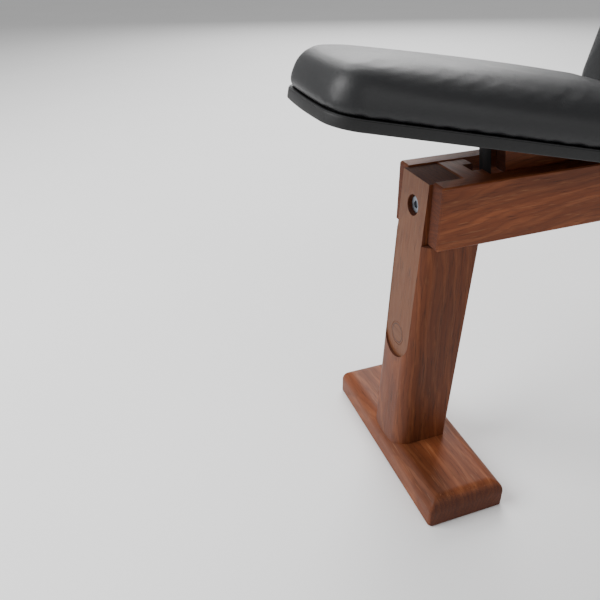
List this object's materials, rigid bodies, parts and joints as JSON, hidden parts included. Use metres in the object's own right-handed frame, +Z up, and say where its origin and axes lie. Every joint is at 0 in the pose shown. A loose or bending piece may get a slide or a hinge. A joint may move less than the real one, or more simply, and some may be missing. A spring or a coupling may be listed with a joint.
{
  "type": "adjustable exercise bench",
  "caption": "Adjustable exercise bench: hardwood rail frame on T-shaped feet, tilting padded seat on a prop, reclining padded back on a strut and notched rack, transport wheels.",
  "frame": {"origin": "on the floor under the middle of the bench's length, on its mid-plane", "axes": "+X along the rails from the seat end to the head end, +Y to the left of someone who faces the head end, +Z up"},
  "size_m": [1.218, 0.42, 1.1221],
  "materials": {
    "hardwood": "oiled, open grain",
    "end_block_wood": "oiled",
    "plug_wood": "oiled",
    "upholstery": "soft grained, matt",
    "pad_board": "covered board edge",
    "foam": "open cell foam",
    "black_steel": "powder coated",
    "bolt_steel": "zinc plated",
    "dark_steel": "blackened",
    "nylon": "moulded",
    "black_rubber": "moulded",
    "wheel_plastic": "moulded",
    "wheel_tread": "smooth"
  },
  "bodies": {
    "frame": {"near_rail": "hardwood", "far_rail": "hardwood", "front_leg": "hardwood", "rear_leg": "hardwood", "front_foot": "hardwood", "rear_foot": "hardwood", "front_block": "end_block_wood", "rear_block": "end_block_wood", "back_rack": "end_block_wood", "rail_dowels": "end_block_wood", "leg_plug": "plug_wood", "leg_bolts": "bolt_steel", "leg_bolt_washers": "bolt_steel", "barrel_nuts": "bolt_steel", "foot_bolts": "bolt_steel", "front_foot_pads": "black_rubber", "rear_foot_pads": "black_rubber", "rack_screws": "dark_steel", "prop_rest_pin": "black_steel", "seat_hinge_bolt": "dark_steel", "seat_hinge_nut": "dark_steel", "seat_hinge_washers": "nylon", "back_hinge_bolt": "dark_steel", "back_hinge_nut": "dark_steel", "back_hinge_washers": "nylon", "near_wheel_fork": "black_steel", "far_wheel_fork": "black_steel", "near_wheel_axle": "bolt_steel", "far_wheel_axle": "bolt_steel", "fork_screws": "dark_steel"},
    "seat": {"seat_beam": "hardwood", "seat_board": "pad_board", "seat_foam": "foam", "seat_cover": "upholstery", "seat_inserts": "bolt_steel", "seat_bolts": "dark_steel", "seat_bumpers": "black_rubber", "prop_bracket": "black_steel", "prop_pin": "black_steel", "bracket_screws": "dark_steel"},
    "prop": {"seat_prop": "black_steel"},
    "back": {"back_beam": "hardwood", "back_board": "pad_board", "back_foam": "foam", "back_cover": "upholstery", "back_inserts": "bolt_steel", "back_bolts": "dark_steel", "back_bumpers": "black_rubber", "strut_pivot_pin": "black_steel"},
    "back_strut": {"near_strut_arm": "black_steel", "far_strut_arm": "black_steel", "strut_cross_bar": "black_steel", "strut_tie": "black_steel"},
    "near_wheel": {"near_wheel_hub": "wheel_plastic", "near_wheel_tyre": "wheel_tread"},
    "far_wheel": {"far_wheel_hub": "wheel_plastic", "far_wheel_tyre": "wheel_tread"}
  },
  "joints": [
    {"name": "seat_tilt", "type": "hinge", "parent": "frame", "child": "seat", "pos_m": [-0.21802, 0, 0.368], "axis": [0, 1, 0], "range_deg": [-11.1, 0]},
    {"name": "prop_fold", "type": "hinge", "parent": "seat", "child": "prop", "pos_m": [-0.40648, 0, 0.41511], "axis": [0, 1, 0], "range_deg": [-67, 0]},
    {"name": "back_recline", "type": "hinge", "parent": "frame", "child": "back", "pos_m": [-0.13602, 0, 0.368], "axis": [0, 1, 0], "range_deg": [0, 78]},
    {"name": "strut_fold", "type": "hinge", "parent": "back", "child": "back_strut", "pos_m": [-0.08612, 0, 0.60276], "axis": [0, 1, 0], "range_deg": [-123.45, 0]},
    {"name": "near_wheel_spin", "type": "hinge", "parent": "frame", "child": "near_wheel", "pos_m": [0.58498, -0.15, 0.029], "axis": [0, 1, 0], "continuous": true},
    {"name": "far_wheel_spin", "type": "hinge", "parent": "frame", "child": "far_wheel", "pos_m": [0.58498, 0.15, 0.029], "axis": [0, 1, 0], "continuous": true}
  ],
  "couplings": [
    {"joint": "prop_fold", "follows": "seat_tilt", "ratio": 6.027},
    {"joint": "strut_fold", "follows": "back_recline", "ratio": -1.5814}
  ]
}
